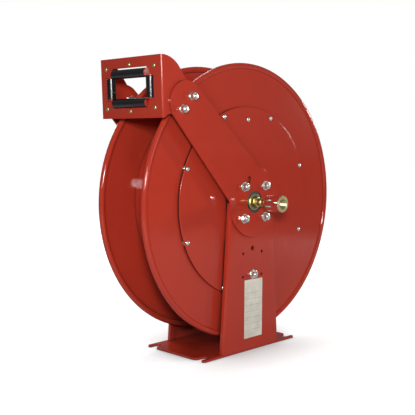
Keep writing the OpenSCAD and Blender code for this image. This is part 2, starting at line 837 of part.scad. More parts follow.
// Brass nipple screwed into the shaft; it turns with the spool
stem_r = 8;
stem_bore_r = 6;
module inlet_nipple() {
  stem_end = swivel_in + 16;
  thread_end = shaft_end(NEAR) - shaft_recess;
  hex_l = 13;
  ball_z = 116;
  ball_r = 5;
  ball_x = 4.5;
  ball_half = sqrt(ball_r * ball_r - (stem_r - ball_x) * (stem_r - ball_x));
  ball_angle = asin(ball_half / ball_r);
  color("gold") side(NEAR) {
    rotate_extrude() polygon(concat(
      [[stem_bore_r, thread_end - 14], [shaft_bore_r, thread_end - 14],
       [shaft_bore_r, thread_end], [stem_r, thread_end]],
      arc(ball_x, ball_z, ball_r, -ball_angle, ball_angle, 8),
      [[stem_r, stem_end], [stem_bore_r, stem_end]]
    ));
    difference() {
      hex(21, thread_end, thread_end + hex_l);
      translate([0, 0, thread_end - 1]) cylinder(r = stem_r - eps, h = 20);
    }
  }
}
// Polished swivel body, which stays still while the spool turns
module swivel_body() {
  out = swivel_in + swivel_l;
  r = swivel_d / 2;
  edge = 1.5;
  color("gold") side(NEAR) rotate_extrude() polygon(concat(
    [[stem_r + running_gap, swivel_in]],
    arc(r - edge, swivel_in + edge, edge, -90, 0, 4),
    arc(r - edge, out - edge, edge, 0, 90, 4),
    [[inlet_port_r + port_lead, out], [inlet_port_r, out - port_lead],
     [inlet_port_r, out - inlet_port_l], [stem_r + running_gap, out - inlet_port_l]]
  ));
}
module swivel_seal() {
  color("black") side(NEAR) ring(12, stem_r, swivel_in - 3.2, swivel_in - 0.3);
}

// ---- Pawl ----

pawl_out = face_in - 1.2;
pawl_in = pawl_out - 4.1;
pawl_eye_r = 11;
wire_r = 0.35;
spring_coils = 2;
coil_pitch = 1.2;
spring_gap = 0.4;
head_out = pawl_in - spring_coils * coil_pitch - 2 * wire_r - spring_gap;
head_in = cover_out + 1.2;
module pawl_frame() { translate([0, -pawl_drop, 0]) children(); }
// The nose stays clear of the wheel's tooth by about half a millimetre
module pawl_outline() {
  lift = [0, pawl_drop];
  face = nose_angle - 0.6;
  circle(pawl_eye_r);
  polygon([
    [-pawl_eye_r + 0.6, 3], [pawl_eye_r - 0.3, -2],
    polar(tooth_tip_r + 6, face) + lift,
    polar(tooth_root_r + 0.8, face) + lift,
    polar(tooth_root_r + 1.6, face - 5) + lift,
    polar(tooth_root_r + 2.8, face - 11) + lift
  ]);
}
module pawl() {
  color("dimgray") side(NEAR) pawl_frame() difference() {
    slab(pawl_in, pawl_out) pawl_outline();
    translate([0, 0, pawl_in - 1]) cylinder(r = bolt_r + running_gap, h = 8);
  }
}
// Shoulder bolt: its low head faces the spool and its nut is outside the pedestal
module pawl_bolt() {
  color("silver") side(NEAR) pawl_frame() {
    translate([0, 0, head_in]) cylinder(r = 9, h = head_out - head_in);
    translate([0, 0, head_out - eps])
      cylinder(r = bolt_r, h = face_out - head_out + washer_t + nut_t + stud_end);
  }
}
module pawl_nut() {
  color("silver") side(NEAR) pawl_frame() {
    ring(washer_r, bolt_r, face_out, face_out + washer_t);
    nut(face_out + washer_t);
  }
}
// One unbroken wire of six sides through a list of points, which all turn round z
module wire(points, r) {
  n = len(points);
  ring_of = [for (i = [0:n - 1])
    let (a = points[max(i - 1, 0)], b = points[min(i + 1, n - 1)],
         d = [b[0] - a[0], b[1] - a[1]] / norm([b[0] - a[0], b[1] - a[1]]))
    for (k = [0:5]) points[i] + r * [d[1] * cos(60 * k), -d[0] * cos(60 * k), sin(60 * k)]];
  polyhedron(ring_of, concat(
    [[0, 1, 2, 3, 4, 5]],
    [for (i = [0:n - 2], k = [0:5])
      [6 * i + k, 6 * i + 6 + k, 6 * i + 6 + (k + 1) % 6, 6 * i + (k + 1) % 6]],
    [[for (k = [5:-1:0]) 6 * (n - 1) + k]]
  ));
}
// Torsion spring round the bolt, with two straight legs, that presses the pawl inwards
module pawl_spring() {
  coil_r = bolt_r + 1.6;
  leg = 15;
  steps = 8 * spring_coils;
  low = head_out + spring_gap - 0.1 + wire_r;
  turns = [for (i = [0:steps]) let (a = 75 + 45 * i)
    [coil_r * cos(a), coil_r * sin(a), low + coil_pitch * i / 8]];
  start = turns[0] + leg * [sin(75), -cos(75), 0];
  end = turns[steps] + leg * [-sin(75), cos(75), 0];
  color("slategray") side(NEAR) pawl_frame() wire(concat([start], turns, [end]), wire_r);
}

base_plate();
pedestal_near();
pedestal_far();
guide_arm_near();
guide_arm_far();
guide_bracket();
roller_bracket_top();
roller_bracket_bottom();
guide_screws();
roller_pins();
roller_top();
roller_bottom();
roller_left();
roller_right();
arm_bolts_near();
arm_bolts_far();
arm_nuts_near();
arm_nuts_far();
bearing_plate_near();
shaft_bush_near();
hub_bolts_near();
hub_nuts_near();
hub_washers_near();
arbor_plate_far();
arm_spacer_far();
arbor_shaft();
hub_bolts_far();
hub_nuts_far();
hub_washers_far();
disc_near();
disc_far();
cover_near();
cover_far();
cover_screws_near();
cover_screws_far();
drum();
inlet_shaft();
hub_screws_near();
hub_screws_far();
far_hub();
shaft_bush_far();
ratchet_wheel();
spring_case();
power_spring();
riser_elbow();
riser_pipe();
hose_outlet();
inlet_nipple();
swivel_body();
swivel_seal();
pawl();
pawl_bolt();
pawl_nut();
pawl_spring();
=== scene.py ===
import json
import math

import bmesh
import bpy
from mathutils import Matrix, Vector

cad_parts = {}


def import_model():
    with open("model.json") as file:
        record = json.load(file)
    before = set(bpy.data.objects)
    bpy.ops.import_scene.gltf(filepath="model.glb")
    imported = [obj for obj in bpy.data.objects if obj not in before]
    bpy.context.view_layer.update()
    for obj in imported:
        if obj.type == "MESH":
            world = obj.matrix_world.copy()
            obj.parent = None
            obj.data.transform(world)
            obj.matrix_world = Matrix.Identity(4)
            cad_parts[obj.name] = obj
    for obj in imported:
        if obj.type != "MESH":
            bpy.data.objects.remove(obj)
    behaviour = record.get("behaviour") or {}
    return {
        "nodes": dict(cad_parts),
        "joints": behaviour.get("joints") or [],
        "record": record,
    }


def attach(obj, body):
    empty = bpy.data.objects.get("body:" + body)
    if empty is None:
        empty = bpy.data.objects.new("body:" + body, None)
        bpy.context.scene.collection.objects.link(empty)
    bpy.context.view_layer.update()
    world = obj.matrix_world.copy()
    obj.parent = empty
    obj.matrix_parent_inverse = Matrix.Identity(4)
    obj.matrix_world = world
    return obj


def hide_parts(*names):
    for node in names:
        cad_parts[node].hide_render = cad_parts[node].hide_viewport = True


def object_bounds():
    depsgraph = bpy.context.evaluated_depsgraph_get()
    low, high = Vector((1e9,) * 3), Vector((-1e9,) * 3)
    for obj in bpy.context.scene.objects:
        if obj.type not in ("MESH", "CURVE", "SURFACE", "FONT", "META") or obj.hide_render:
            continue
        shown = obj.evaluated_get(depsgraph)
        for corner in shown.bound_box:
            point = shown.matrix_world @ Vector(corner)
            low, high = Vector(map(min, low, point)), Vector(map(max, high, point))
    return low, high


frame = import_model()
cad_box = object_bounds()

# Lengths are in metres. The reel stands on z = 0, its shaft runs along y, and the swivel and
# the blank plate are on the near side, at -y.

nodes = frame["nodes"]
record = frame["record"]
SLOT_OF = {part["node"]: part["material_slot"] for part in record["subparts"]}
BODY_OF = {node: body for body, members in record["behaviour"]["bodies"].items()
           for node in members}

# The shaft's height, taken from the frame's own spool joint
SHAFT = next(j["pos_m"][2] for j in frame["joints"] if j["name"] == "spool_spin")

# A length below this counts as none
TINY = 1e-6

# A gap or a step too small to show
SLIVER = 0.0001


# ---- Materials ----

# Sockets of a colour Mix node
MIX_FACTOR, MIX_FROM, MIX_TO = 0, 6, 7
MIX_RESULT = 2

# Samples that look for neighbours
PAINT_SAMPLES = 8
FLOOR_SAMPLES = 16

PAINT_LOW = (0.402, 0.0325, 0.0165)
PAINT_HIGH = (0.428, 0.0360, 0.0190)

# Painted shade on the paint where other surfaces are near: its colour, how far it looks for
# neighbours, and the openness at which it is all dark and at which it ends
PAINTED_CREVICE_SHADE = {"dark": (0.020, 0.012, 0.014), "reach": 0.012, "low": 0.3, "high": 0.65}
PAINTED_HOLLOW_SHADE = {"dark": (0.110, 0.016, 0.010), "reach": 0.22, "low": 0.12, "high": 0.18}


def new_material(name, **values):
    """A node material and its Principled shader, whose own sockets are set by name."""
    mat = bpy.data.materials.new(name)
    mat.use_nodes = True
    shader = mat.node_tree.nodes["Principled BSDF"]
    for key, value in values.items():
        shader.inputs[key.replace("_", " ")].default_value = value
    return mat, shader


def add(mat, kind, **values):
    """Adds a node and sets its properties and inputs by name."""
    node = mat.node_tree.nodes.new(kind)
    for key, value in values.items():
        if hasattr(node, key):
            setattr(node, key, value)
        else:
            node.inputs[key.replace("_", " ")].default_value = value
    return node


def link(mat, out, into):
    """Joins a node's output to another's input."""
    mat.node_tree.links.new(out, into)


def noise(mat, scale, detail=3.0, rough=0.5, stretch=None):
    """Noise in the object's own metres, so it has a real scale."""
    coord = add(mat, "ShaderNodeTexCoord")
    tex = add(mat, "ShaderNodeTexNoise", Scale=scale, Detail=detail, Roughness=rough)
    if stretch:
        mapping = add(mat, "ShaderNodeMapping", Scale=stretch)
        link(mat, coord.outputs["Object"], mapping.inputs["Vector"])
        link(mat, mapping.outputs["Vector"], tex.inputs["Vector"])
    else:
        link(mat, coord.outputs["Object"], tex.inputs["Vector"])
    return tex.outputs["Fac"]


def ramp(mat, value, low, high, color_low, color_high):
    """Blends from one colour to another as the value goes from low to high."""
    node = add(mat, "ShaderNodeValToRGB")
    node.color_ramp.elements[0].position = low
    node.color_ramp.elements[1].position = high
    node.color_ramp.elements[0].color = (*color_low, 1)
    node.color_ramp.elements[1].color = (*color_high, 1)
    link(mat, value, node.inputs["Fac"])
    return node.outputs["Color"]


def spread(mat, value, low, high):
    """Maps 0..1 to low..high."""
    node = add(mat, "ShaderNodeMapRange", To_Min=low, To_Max=high)
    link(mat, value, node.inputs["Value"])
    return node.outputs["Result"]


def bump(mat, shader, value, strength, distance):
    """Raises the surface by the value, for its normal only."""
    node = add(mat, "ShaderNodeBump", Strength=strength, Distance=distance)
    link(mat, value, node.inputs["Height"])
    link(mat, node.outputs["Normal"], shader.inputs["Normal"])


def openness(mat, reach, samples, low, high, darkest=0.0):
    """How open the surroundings are: darkest when closed in, up to 1 when clear."""
    occlusion = add(mat, "ShaderNodeAmbientOcclusion", samples=samples)
    occlusion.inputs["Distance"].default_value = reach
    node = add(mat, "ShaderNodeMapRange", From_Min=low, From_Max=high, To_Min=darkest, To_Max=1.0)
    link(mat, occlusion.outputs["AO"], node.inputs["Value"])
    return node.outputs["Result"]


def painted_shade(mat, color, dark, reach, low, high):
    """Paints shade into a colour: darkens it where other surfaces are near."""
    mix = add(mat, "ShaderNodeMix", data_type="RGBA")
    mix.inputs[MIX_FROM].default_value = (*dark, 1)
    link(mat, openness(mat, reach, PAINT_SAMPLES, low, high), mix.inputs[MIX_FACTOR])
    link(mat, color, mix.inputs[MIX_TO])
    return mix.outputs[MIX_RESULT]


def glossy_paint():
    """Smooth red enamel with a faint orange-peel surface, and shade painted into its colour."""
    mat, shader = new_material("red_paint", Roughness=0.4, Specular_IOR_Level=0.0,
                               Coat_Weight=0.7, Coat_Roughness=0.07)
    tint = ramp(mat, noise(mat, scale=9, detail=4), 0.3, 0.75, PAINT_LOW, PAINT_HIGH)
    # Painted shade: the colour darkens in hollows, such as under the spool, and in narrow gaps
    tint = painted_shade(mat, tint, **PAINTED_HOLLOW_SHADE)
    link(mat, painted_shade(mat, tint, **PAINTED_CREVICE_SHADE), shader.inputs["Base Color"])
    bump(mat, shader, noise(mat, scale=420, detail=2), strength=0.05, distance=0.0004)
    return mat


def plated(name, dark, light, roughness, scale=900, metallic=1.0):
    """Plated or polished metal, a little cloudy."""
    mat, shader = new_material(name, Metallic=metallic)
    tint = ramp(mat, noise(mat, scale, detail=4), 0.35, 0.65, dark, light)
    link(mat, tint, shader.inputs["Base Color"])
    cloud = spread(mat, noise(mat, scale / 3, detail=3), roughness * 0.75, roughness * 1.3)
    link(mat, cloud, shader.inputs["Roughness"])
    bump(mat, shader, noise(mat, scale * 1.5, detail=2), strength=0.05, distance=0.0002)
    return mat


def machined_brass():
    """Turned brass: fine rings round the shaft's axis."""
    mat, shader = new_material("machined_brass", Metallic=1.0)
    fine = noise(mat, scale=260, detail=5, stretch=(1, 9, 1))
    tint = ramp(mat, fine, 0.3, 0.7, (0.42, 0.35, 0.12), (0.68, 0.60, 0.34))
    link(mat, tint, shader.inputs["Base Color"])
    link(mat, spread(mat, fine, 0.26, 0.42), shader.inputs["Roughness"])
    rings = noise(mat, scale=900, detail=2, stretch=(1, 14, 1))
    bump(mat, shader, rings, strength=0.1, distance=0.0003)
    return mat


def plastic(name, color, roughness):
    """Moulded plastic or rubber, or a printed film, with a fine grain."""
    mat, shader = new_material(name, Roughness=roughness)
    low = tuple(c * 0.8 for c in color)
    tint = ramp(mat, noise(mat, scale=60, detail=4), 0.3, 0.7, low, color)
    link(mat, tint, shader.inputs["Base Color"])
    bump(mat, shader, noise(mat, scale=700, detail=2), strength=0.08, distance=0.0003)
    return mat


def blackened_steel():
    """Dark, mottled steel."""
    mat, shader = new_material("blackened_steel", Metallic=0.7)
    mottled = noise(mat, scale=130, detail=6, rough=0.6)
    tint = ramp(mat, mottled, 0.35, 0.7, (0.02, 0.02, 0.023), (0.06, 0.058, 0.056))
    link(mat, tint, shader.inputs["Base Color"])
    link(mat, spread(mat, mottled, 0.35, 0.55), shader.inputs["Roughness"])
    bump(mat, shader, noise(mat, scale=800, detail=3), strength=0.15, distance=0.0003)
    return mat


MATERIALS = {
    "red_paint": glossy_paint(),
    "zinc_steel": plated("zinc_steel", (0.60, 0.62, 0.56), (0.84, 0.85, 0.79), 0.26,
                         metallic=0.95),
    "yellow_zinc": plated("yellow_zinc", (0.36, 0.33, 0.13), (0.52, 0.49, 0.26), 0.2,
                          metallic=0.85),
    "roller_plastic": plastic("roller_plastic", (0.006, 0.006, 0.008), 0.18),
    "brass": machined_brass(),
    "polished_metal": plated("polished_metal", (0.80, 0.78, 0.74), (0.86, 0.85, 0.82), 0.05,
                             scale=300),
    "black_plastic": plastic("black_plastic", (0.010, 0.012, 0.016), 0.4),
    "dark_steel": blackened_steel(),
    "spring_steel": plated("spring_steel", (0.16, 0.16, 0.17), (0.28, 0.28, 0.29), 0.3),
    "black_rubber": plastic("black_rubber", (0.012, 0.012, 0.012), 0.6),
}


def paint_nodes():
    """Every CAD node takes the material of its own slot."""
    for node, slot in SLOT_OF.items():
        mesh = nodes[node].data
        mesh.materials.clear()
        mesh.materials.append(MATERIALS[slot])


# ---- Rounded sheet metal ----

# Edge radius of each sheet
SHEET_METAL = {
    "base_plate": 0.0006,
    "pedestal_near": 0.0006, "pedestal_far": 0.0006,
    "guide_arm_near": 0.0008, "guide_arm_far": 0.0008,
    "guide_bracket": 0.0006,
    "roller_bracket_top": 0.0004, "roller_bracket_bottom": 0.0004,
}
FLAT_ANGLE = math.radians(0.5)
ROUNDED_ANGLE = math.radians(32)


def soften(name, radius):
    """Stands in for a CAD node with the same mesh, its sharp edges rounded."""
    piece = bpy.data.objects.new(name + "_soft", nodes[name].data.copy())
    bpy.context.scene.collection.objects.link(piece)
    mesh = bmesh.new()
    mesh.from_mesh(piece.data)
    bmesh.ops.remove_doubles(mesh, verts=mesh.verts, dist=TINY)
    bmesh.ops.dissolve_limit(mesh, angle_limit=FLAT_ANGLE, verts=mesh.verts, edges=mesh.edges)
    for face in mesh.faces:
        face.smooth = True
    for edge in mesh.edges:
        edge.smooth = True
    mesh.to_mesh(piece.data)
    mesh.free()
    # Normals stored with the CAD mesh no longer fit it
    stored = piece.data.attributes.get("custom_normal")
    if stored:
        piece.data.attributes.remove(stored)
    bevel = piece.modifiers.new("round", "BEVEL")
    bevel.width = radius
    bevel.segments = 2
    bevel.limit_method = "ANGLE"
    bevel.angle_limit = ROUNDED_ANGLE
    bevel.use_clamp_overlap = True
    weigh = piece.modifiers.new("weigh", "WEIGHTED_NORMAL")
    weigh.mode = "FACE_AREA"
    weigh.weight = 100
    weigh.keep_sharp = True
    slot = SLOT_OF[name]
    piece.data.materials.clear()
    piece.data.materials.append(MATERIALS[slot])
    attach(piece, BODY_OF[name])
    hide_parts(name)


# ---- Turned shapes ----

NEAR, FAR = -1, 1
SHARP_ANGLE = math.radians(30)

# Steps round a turned shape
NUT_STEPS = 96
WASHER_STEPS = 64
STUD_STEPS = 48
SCREW_STEPS = 40

# A hexagon's chamfer starts at this share of its inner radius
CHAMFER_START = 0.96
CHAMFER_SLOPE = math.tan(math.radians(28))
HEAD_MIDDLE = 0.3
HEAD_CENTRE_R = 0.001
BORE_LEAD = 0.0006
WASHER_EDGE = 0.0004

# The 3/8 in bolts, with 16 threads to the inch
HEX_FLATS = 0.0143
WASHER_T = 0.0022
WASHER_BORE_R = 0.0052
BOLT_R = 0.00475
PITCH = 0.0015875
THREAD_L = 0.012
THREAD_DEPTH = PITCH * 0.6
THREAD_ROWS = 8
STUD_CHAMFER = 0.0011
# How deep the root, the flat crest and the stud's end lie, as shares of the thread's depth
ROOT, CREST, END = 0.9, 0.2, 0.4


def finish_piece(name, mesh, slot, body, replaced):
    """Turns a bmesh into a piece that rides on a body and stands in for a CAD node."""
    bmesh.ops.recalc_face_normals(mesh, faces=mesh.faces)
    data = bpy.data.meshes.new(name)
    mesh.to_mesh(data)
    mesh.free()
    data.shade_smooth()
    data.set_sharp_from_angle(angle=SHARP_ANGLE)
    piece = bpy.data.objects.new(name, data)
    bpy.context.scene.collection.objects.link(piece)
    data.materials.append(MATERIALS[slot])
    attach(piece, body)
    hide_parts(replaced)


def islands(node):
    """The separate solids of a CAD node, as (lowest corner, highest corner), in order."""
    mesh = bmesh.new()
    mesh.from_mesh(nodes[node].data)
    bmesh.ops.remove_doubles(mesh, verts=mesh.verts, dist=TINY)
    left = set(mesh.verts)
    boxes = []
    while left:
        group, queue = [], [left.pop()]
        while queue:
            vert = queue.pop()
            group.append(vert.co.copy())
            for edge in vert.link_edges:
                other = edge.other_vert(vert)
                if other in left:
                    left.remove(other)
                    queue.append(other)
        low = Vector([min(co[i] for co in group) for i in range(3)])
        high = Vector([max(co[i] for co in group) for i in range(3)])
        boxes.append((low, high))
    mesh.free()
    return sorted(boxes, key=lambda b: tuple(round(v, 5) for v in b[0]))


def frame_at(origin, axis):
    """A matrix whose z runs along the axis and whose y is as near up as it can be."""
    z = Vector(axis).normalized()
    x = Vector((0, 0, 1)).cross(z)
    if x.length < TINY:
        x = Vector((1, 0, 0))
    x.normalize()
    y = z.cross(x)
    turn = Matrix((x, y, z)).transposed().to_4x4()
    return Matrix.Translation(origin) @ turn


def side_place(box, side):
    """A frame on a box's axis at y = 0, whose z runs outboard on that side."""
    low, high = box
    middle = Vector(((low[0] + high[0]) / 2, 0, (low[2] + high[2]) / 2))
    return frame_at(middle, (0, side, 0))


def outboard(box, side):
    """The box's inner and outer distance from the middle plane."""
    low, high = box
    return (-high[1], -low[1]) if side < 0 else (low[1], high[1])


def turned(mesh, place, profile, steps, closed=False):
    """Adds a turned shape. profile(angle) lists (radius, height) from bottom to top."""
    rings = []
    for k in range(steps):
        a = 2 * math.pi * k / steps
        rings.append([mesh.verts.new(place @ Vector((r * math.cos(a), r * math.sin(a), z)))
                      for r, z in profile(a)])
    count = len(rings[0])
    for k in range(steps):
        here, there = rings[k], rings[(k + 1) % steps]
        for i in range(count if closed else count - 1):
            j = (i + 1) % count
            mesh.faces.new((here[i], there[i], there[j], here[j]))
    if not closed:
        for i in (0, -1):
            mesh.faces.new([ring[i] for ring in rings])


def hex_radius(a, flats, corner=0.975):
    """Distance from a hexagon's middle to its side, its corners a little rounded."""
    turn = (a + math.pi / 6) % (math.pi / 3) - math.pi / 6
    return min(flats / 2 / math.cos(turn), flats / math.sqrt(3) * corner)


def hexagon(flats, low, high, bore, chamfer_high=True, twist=0.0):
    """Profile of a nut or, with no bore, of a bolt's head."""
    rim = flats / 2 * CHAMFER_START

    def profile(a):
        r = hex_radius(a + twist, flats)
        drop = (r - rim) * CHAMFER_SLOPE
        points = [(rim, low), (r, low + drop),
                  (r, high - (drop if chamfer_high else 0)), (rim, high)]
        if not bore:
            return points + [(rim * HEAD_MIDDLE, high)]
        return [(bore, low + BORE_LEAD), (bore + BORE_LEAD, low)] + points + [
            (bore + BORE_LEAD, high), (bore, high - BORE_LEAD)]
    return profile


def washer(r_out, r_in, low, high):
    """Profile of a washer with broken edges."""
    e = min(WASHER_EDGE, (high - low) / 3)
    points = [(r_in, low + e), (r_in + e, low), (r_out - e, low), (r_out, low + e),
              (r_out, high - e), (r_out - e, high), (r_in + e, high), (r_in, high - e)]
    return lambda a: points


def thread_cut(z, a, pitch):
    """How deep a V thread is cut at a height and angle: 0 at its crest, 1 at its root."""
    t = (z / pitch - a / (2 * math.pi)) % 1.0
    return 1 - abs(2 * t - 1)


def stud(radius, low, high):
    """Profile of a shank whose top end is threaded and chamfered."""
    start = high - THREAD_L
    rows = int(round(THREAD_L / (PITCH / THREAD_ROWS)))

    def profile(a):
        points = [(radius, low), (radius, start)]
        for i in range(1, rows + 1):
            z = start + (THREAD_L - SLIVER) * i / rows
            r = radius - THREAD_DEPTH * thread_cut(z, a, PITCH) * ROOT
            crest = radius - THREAD_DEPTH * CREST - max(0, z - (high - STUD_CHAMFER))
            points.append((min(r, crest), z))
        points.append((radius - STUD_CHAMFER - THREAD_DEPTH * END, high))
        return points
    return profile


def dome(foot, sag, radius, start, base):
    """Points of a domed head from its foot to its top, on a base height."""
    steps, nearly_up = 10, 89.0
    points = [(foot, base)]
    for i in range(steps + 1):
        a = math.radians(start + (nearly_up - start) * i / steps)
        points.append((radius * math.cos(a), base - sag + radius * math.sin(a)))
    return points


# ---- Fasteners ----

def bolted_nuts(name, side, twists, washer_under=False):
    """Chamfered nuts, and, where washer_under is set, under each one the washer that shares its
    CAD node.
    """
    mesh = bmesh.new()
    for i, part in enumerate(islands(name)):
        place = side_place(part, side)
        low, high = outboard(part, side)
        if washer_under:
            wide = part[1][0] - part[0][0]
            ring = washer(wide / 2, BOLT_R, low, low + WASHER_T)
            turned(mesh, place, ring, WASHER_STEPS, True)
            low += WASHER_T
        nut = hexagon(HEX_FLATS, low, high, BOLT_R, twist=twists[i % len(twists)])
        turned(mesh, place, nut, NUT_STEPS, True)
    finish_piece(name + "_fine", mesh, "zinc_steel", "frame", name)


def washers(name, side):
    """Loose washers, each as wide as its CAD solid."""
    mesh = bmesh.new()
    for part in islands(name):
        low, high = outboard(part, side)
        wide = part[1][0] - part[0][0]
        ring = washer(wide / 2, WASHER_BORE_R, low, high)
        turned(mesh, side_place(part, side), ring, WASHER_STEPS, True)
    finish_piece(name + "_fine", mesh, "zinc_steel", "frame", name)


def bolts(name, side, head_t, head_r=None):
    """Bolts with a threaded, chamfered end outboard. A head is round where head_r is given."""
    mesh = bmesh.new()
    for part in islands(name):
        place = side_place(part, side)
        low, high = outboard(part, side)
        if head_r:
            head = washer(head_r, HEAD_CENTRE_R, low, low + head_t)
            turned(mesh, place, head, WASHER_STEPS, True)
        else:
            head = hexagon(HEX_FLATS, low, low + head_t, 0, chamfer_high=False)
            turned(mesh, place, head, NUT_STEPS)
        turned(mesh, place, stud(BOLT_R, low + head_t, high), STUD_STEPS)
    finish_piece(name + "_fine", mesh, "zinc_steel", "frame", name)


def cover_screws(name, side):
    """Domed screws with the spacer under the cover and the nut inside the drum."""
    disc_face, cover_low, cover_face = 0.0684, 0.0722, 0.0747
    shank_r, bore_r, spacer_r, flats = 0.003, 0.0031, 0.008, 0.0096
    nut_low, nut_high = 0.002, 0.007
    mesh = bmesh.new()
    for part in islands(name):
        place = side_place(part, side)
        low, _ = outboard(part, side)
        head = dome(foot=0.0046, sag=0.0036, radius=0.0068, start=40, base=cover_face)
        screw = [(shank_r, low), (shank_r, cover_face - SLIVER)] + head
        turned(mesh, place, lambda a: screw, SCREW_STEPS)
        turned(mesh, place, washer(spacer_r, bore_r, disc_face, cover_low), SCREW_STEPS, True)
        nut = hexagon(flats, low + nut_low, low + nut_high, bore_r)
        turned(mesh, place, nut, STUD_STEPS, True)
    finish_piece(name + "_fine", mesh, "zinc_steel", "spool", name)


# The guide's front plate leans a little, so its screws point out and down
GUIDE_LEAN = math.radians(2.4)
GUIDE_OUT = (-math.cos(GUIDE_LEAN), 0, -math.sin(GUIDE_LEAN))


def guide_screws():
    """Domed yellow screws through the front plate, each with a nut behind."""
    half, head_t = 0.0073, 0.0028
    shank_r, bore_r, flats = 0.0025, 0.0026, 0.008
    nut_low, nut_high = 0.001, 0.005
    face = half - head_t
    head = dome(foot=0.0045, sag=0.0022, radius=0.005, start=26, base=face)
    screw = [(shank_r, -half), (shank_r, face - SLIVER)] + head
    nut = hexagon(flats, -half + nut_low, -half + nut_high, bore_r)
    mesh = bmesh.new()
    for low, high in islands("guide_screws"):
        place = frame_at((low + high) / 2, GUIDE_OUT)
        turned(mesh, place, lambda a: screw, SCREW_STEPS)
        turned(mesh, place, nut, STUD_STEPS, True)
    finish_piece("guide_screws_fine", mesh, "yellow_zinc", "frame", "guide_screws")


# ---- Swivel, nipple and pawl spring ----

def swivel():
    """A polished shell round a brass body, whose port has a pipe thread."""
    part = islands("swivel_body")[0]
    place = side_place(part, NEAR)
    low, high = outboard(part, NEAR)
    r, stem, core, edge = 0.018, 0.0083, 0.0164, 0.0004
    lip = high - 0.0011
    port_floor = high - 0.020
    shell = bmesh.new()
    outline = [
        (stem, low), (r - 0.0016, low), (r - 0.0006, low + edge), (r, low + 0.0015),
        (r, lip - edge), (r - edge, lip), (core + SLIVER, lip),
        (core + SLIVER, port_floor - 0.0016), (stem, port_floor - 0.0016)]
    turned(shell, place, lambda a: outline, NUT_STEPS, True)
    finish_piece("swivel_shell", shell, "polished_metal", BODY_OF["swivel_body"], "swivel_body")
    port, pitch, depth, rows = 0.0102, 0.0018, 0.0007, 88
    # The thread fades out towards the port's floor
    runout = 0.003

    def inside(a):
        points = [(stem, port_floor - 0.0015), (core, port_floor - 0.0015), (core, lip + SLIVER),
                  (r - 0.0003, lip + SLIVER), (r - 0.0003, high - 0.0005), (r - 0.0009, high),
                  (port + 0.0012, high)]
        for i in range(rows + 1):
            z = lip - (lip - port_floor - 0.001) * i / rows
            cut = depth * thread_cut(z, a, pitch) * min(1.0, (z - port_floor) / runout)
            points.append((port + cut, z))
        return points + [(port, port_floor), (stem, port_floor)]
    brass = bmesh.new()
    turned(brass, place, inside, NUT_STEPS, True)
    finish_piece("swivel_brass", brass, "brass", BODY_OF["swivel_body"], "swivel_body")


def nipple():
    """Brass nipple: a chamfered hexagon, a turned bead and a plain stem."""
    part = islands("inlet_nipple")[0]
    place = side_place(part, NEAR)
    low, high = outboard(part, NEAR)
    collar, flats, rim, hex_low, hex_high = 0.0119, 0.021, 0.0101, 0.093, 0.106
    stem, bore, bead, bead_x, bead_z = 0.008, 0.006, 0.005, 0.0045, 0.116
    twist, corner, slope = 0.2, 0.985, 0.55
    bead_steps = 14
    open_angle = math.degrees(math.acos((stem - bead_x) / bead))

    def profile(a):
        r = hex_radius(a + twist, flats, corner)
        drop = (r - rim) * slope
        points = [(bore, low), (collar, low), (collar, hex_low), (rim, hex_low),
                  (r, hex_low + drop), (r, hex_high - drop), (rim, hex_high),
                  (stem + 0.0008, hex_high), (stem, hex_high + 0.0006)]
        for i in range(bead_steps + 1):
            b = math.radians(-open_angle + 2 * open_angle * i / bead_steps)
            points.append((bead_x + bead * math.cos(b), bead_z + bead * math.sin(b)))
        return points + [(stem, high), (bore, high)]
    mesh = bmesh.new()
    turned(mesh, place, profile, NUT_STEPS, True)
    finish_piece("inlet_nipple_fine", mesh, "brass", BODY_OF["inlet_nipple"], "inlet_nipple")


def pawl_spring():
    """Torsion spring: round wire in two turns with two straight legs."""
    place = side_place(islands("pawl_bolt")[0], NEAR)
    coil_r, pitch, low, leg, wire_r = 0.00635, 0.0012, 0.07805, 0.015, 0.00035
    steps, sides, start, turns = 96, 10, 75, 2
    points = []
    for i in range(steps + 1):
        a = math.radians(start + 360 * turns * i / steps)
        height = low + pitch * turns * i / steps
        points.append(Vector((coil_r * math.cos(a), coil_r * math.sin(a), height)))
    s = math.radians(start)
    out_way = Vector((math.sin(s), -math.cos(s), 0))
    points = [points[0] + out_way * leg] + points + [points[-1] - out_way * leg]
    mesh = bmesh.new()
    rings = []
    for i, point in enumerate(points):
        before, after = points[max(i - 1, 0)], points[min(i + 1, len(points) - 1)]
        along = (after - before).normalized()
        wide = Vector((along.y, -along.x, 0)).normalized()
        tall = wide.cross(along)
        ring = []
        for k in range(sides):
            b = 2 * math.pi * k / sides
            ring.append(mesh.verts.new(place @ (
                point + wire_r * (wide * math.cos(b) + tall * math.sin(b)))))
        rings.append(ring)
    for here, there in zip(rings, rings[1:]):
        for k in range(sides):
            mesh.faces.new((here[k], there[k], there[(k + 1) % sides], here[(k + 1) % sides]))
    mesh.faces.new(rings[0])
    mesh.faces.new(rings[-1])
    finish_piece("pawl_spring_fine", mesh, "spring_steel", "frame", "pawl_spring")


# ---- Blank plate ----

PLATE_AT = (0.004, 0.095)
PLATE_SIZE = (0.060, 0.132)
PLATE_CORNER = 0.002
PLATE_T = 0.0003
RULE_SIZE = (PLATE_SIZE[0] - 0.008, 0.0005)
RULE_CORNER = 0.0002
RULE_FIRST, RULE_STEP, RULE_COUNT = -0.048, 0.014, 7
# What keeps one face from lying in another
CLEAR = 0.00002


def rounded_outline(size, radius, steps):
    """Corners of a rounded rectangle round its middle, in order."""
    width, height = size
    points = []
    for k, (sx, sy) in enumerate(((1, 1), (-1, 1), (-1, -1), (1, -1))):
        for i in range(steps + 1):
            a = math.radians(90 * k + 90 * i / steps)
            points.append((sx * (width / 2 - radius) + radius * math.cos(a),
                           sy * (height / 2 - radius) + radius * math.sin(a)))
    return points


